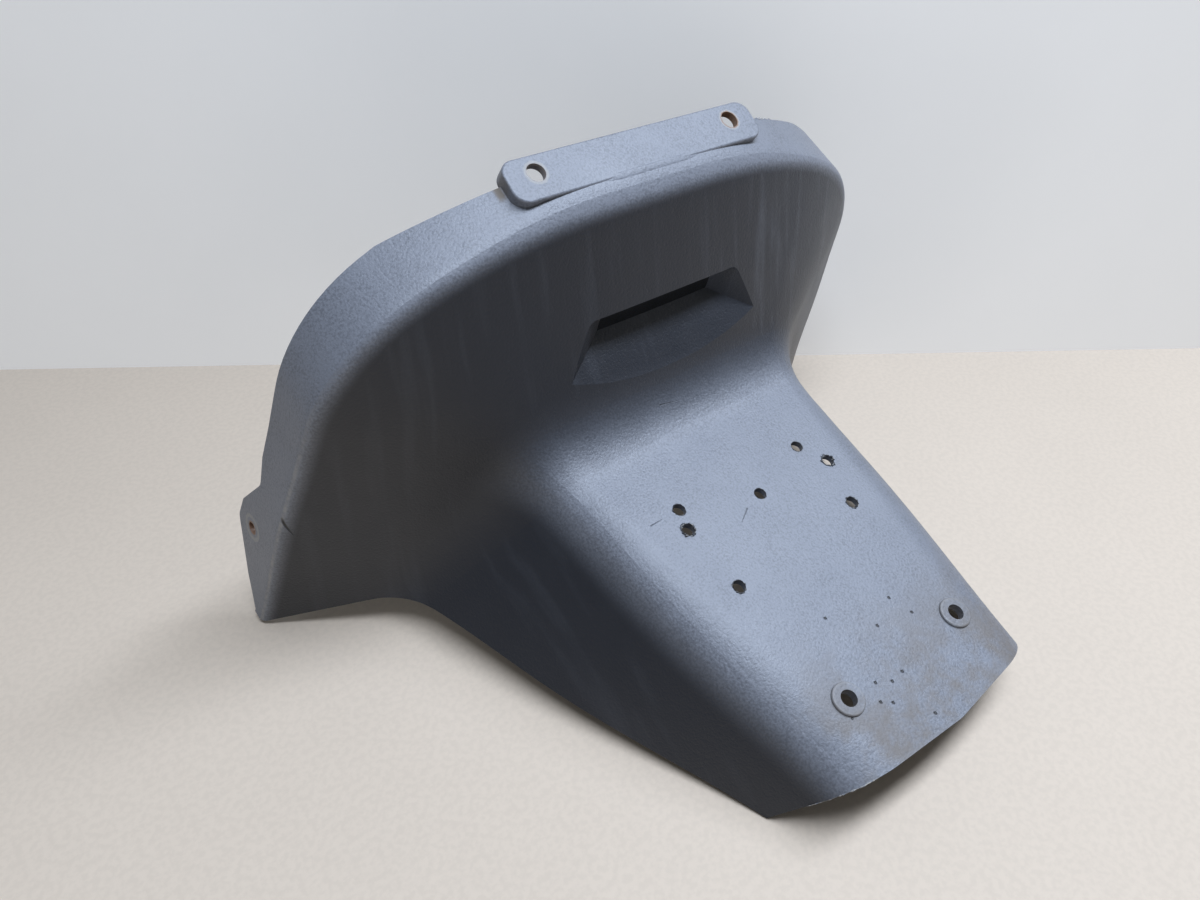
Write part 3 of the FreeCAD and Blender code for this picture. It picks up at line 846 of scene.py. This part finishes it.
def bench_material(paint):
    """Pale packing paper: soft blotches and small flecks."""
    blotch_scale, blotch_share = 9.0, 0.6
    fleck_scale, fleck_edge, fleck_share = 420.0, (0.36, 0.62), 0.35
    dull = 0.86
    roughness, specular = 0.6, 0.2
    material, graph, shader = new_material("bench_paper")
    place = graph.node("ShaderNodeTexCoord").outputs["Object"]
    blotches = graph.times(graph.noise(place, blotch_scale, 6.0, 0.7), blotch_share)
    flecks = graph.smooth(graph.noise(place, fleck_scale, 3.0), *fleck_edge)
    tone = graph.maths("MULTIPLY_ADD", flecks, fleck_share, blotches)
    graph.put(shader.inputs["Base Color"], graph.mix(tone, darker(paint, dull), tuple(paint)))
    shader.inputs["Roughness"].default_value = roughness
    shader.inputs["Specular IOR Level"].default_value = specular
    return material


def backdrop_material(paint):
    """Board that only the camera and gloss see, and only from its front, so that no view loses light."""
    cloud_scale, dull = 6.0, 0.9
    material, graph, first_shader = new_material("backdrop_board")
    graph.tree.nodes.remove(first_shader)
    place = graph.node("ShaderNodeTexCoord").outputs["Object"]
    clouds = graph.noise(place, cloud_scale, 5.0)
    painted = graph.mix(clouds, darker(paint, dull), tuple(paint))
    board = graph.fill(graph.node("ShaderNodeBsdfDiffuse"), {"Color": painted})[0]
    glow = graph.fill(graph.node("ShaderNodeEmission"), {"Color": painted, "Strength": WALL_GLOW})[0]
    both = graph.node("ShaderNodeAddShader")
    graph.put(both.inputs[0], board)
    graph.put(both.inputs[1], glow)
    path = graph.node("ShaderNodeLightPath").outputs
    rear = graph.node("ShaderNodeNewGeometry").outputs["Backfacing"]
    seen = graph.maths("MAXIMUM", path["Is Camera Ray"], path["Is Glossy Ray"])
    join = graph.node("ShaderNodeMixShader")
    graph.put(join.inputs[0], graph.times(seen, graph.maths("SUBTRACT", 1.0, rear)))
    graph.put(join.inputs[1], graph.node("ShaderNodeBsdfTransparent").outputs[0])
    graph.put(join.inputs[2], both.outputs[0])
    graph.put(graph.tree.nodes["Material Output"].inputs["Surface"], join.outputs[0])
    return material


def room(strength):
    """Dim even light all round, seen by the camera as a pale wall."""
    world = bpy.data.worlds.new("soft_room")
    world.use_nodes = True
    graph = Graph(world.node_tree)
    light = world.node_tree.nodes["Background"]
    camera_ray = graph.node("ShaderNodeLightPath").outputs["Is Camera Ray"]
    light.inputs["Color"].default_value = SKY_COLOUR
    shown = graph.maths("MULTIPLY_ADD", camera_ray, SKY_SEEN - strength, strength)
    graph.put(light.inputs["Strength"], shown)
    return world


def strip_lamp(power):
    """Long soft lamp overhead, facing straight down."""
    data = bpy.data.lights.new("strip", "AREA")
    data.shape = "RECTANGLE"
    data.size, data.size_y = STRIP_SIZE
    data.energy = power
    data.color = STRIP_COLOUR
    strip = bpy.data.objects.new("strip", data)
    bpy.context.scene.collection.objects.link(strip)
    strip.location = STRIP_PLACE


def photo_camera():
    """Camera at the photo's place."""
    camera = bpy.data.objects.new("camera", bpy.data.cameras.new("camera"))
    bpy.context.scene.collection.objects.link(camera)
    camera.data.sensor_width = CAMERA_SENSOR
    camera.data.lens = CAMERA_LENS
    camera.data.clip_start = CAMERA_NEAR
    camera.location = CAMERA_PLACE
    camera.rotation_euler = Euler([math.radians(angle) for angle in CAMERA_TURN])
    return camera


class GUARD_OT_stage(bpy.types.Operator):
    """Set the bench, the backdrop, the lamp and the camera"""

    bl_idname = "guard.stage"
    bl_label = "Bench and lights"

    def execute(self, context):
        scene = context.scene
        looks = scene.stage_looks
        half = BENCH_HALF_SIZE
        bench = ((-half, -half, 0.0), (half, -half, 0.0), (half, half, 0.0), (-half, half, 0.0))
        plane("bench", bench, bench_material(looks.bench))
        foot = WALL_NORMAL * WALL_DISTANCE
        along = np.array([-WALL_NORMAL[1], WALL_NORMAL[0], 0.0]) * WALL_HALF_LENGTH
        rise = np.array([0.0, 0.0, WALL_HEIGHT])
        board = (foot + along, foot - along, foot - along + rise, foot + along + rise)
        plane("backdrop", board, backdrop_material(looks.wall))
        scene.world = room(looks.room_light)
        strip_lamp(looks.key_power)
        scene.camera = photo_camera()
        scene.view_settings.view_transform = "Standard"
        return {"FINISHED"}


class GUARD_PT_panel(bpy.types.Panel):
    """Steps that dress the guard"""

    bl_label = "Splash guard"
    bl_idname = "GUARD_PT_panel"
    bl_space_type = "VIEW_3D"
    bl_region_type = "UI"
    bl_category = "Guard"

    def draw(self, context):
        for step in STEPS:
            self.layout.operator(step.bl_idname)


STEPS = (
    GUARD_OT_finish,
    GUARD_OT_tab_fairing,
    GUARD_OT_lamp_shelf,
    GUARD_OT_hole_burrs,
    GUARD_OT_torn_edges,
    GUARD_OT_stage,
)
GROUPS = (
    ("guard_sizes", GuardSizes),
    ("guard_colours", GuardColours),
    ("stage_looks", StageLooks),
)


def register():
    for name, group in GROUPS:
        bpy.utils.register_class(group)
        setattr(bpy.types.Scene, name, PointerProperty(type=group))
    for item in (*STEPS, GUARD_PT_panel):
        bpy.utils.register_class(item)


def unregister():
    for item in (GUARD_PT_panel, *reversed(STEPS)):
        bpy.utils.unregister_class(item)
    for name, group in reversed(GROUPS):
        delattr(bpy.types.Scene, name)
        bpy.utils.unregister_class(group)


def main():
    register()
    bpy.ops.guard.finish()
    bpy.ops.guard.tab_fairing()
    bpy.ops.guard.lamp_shelf()
    bpy.ops.guard.hole_burrs()
    bpy.ops.guard.torn_edges()
    bpy.ops.guard.stage()


if __name__ == "__main__":
    main()
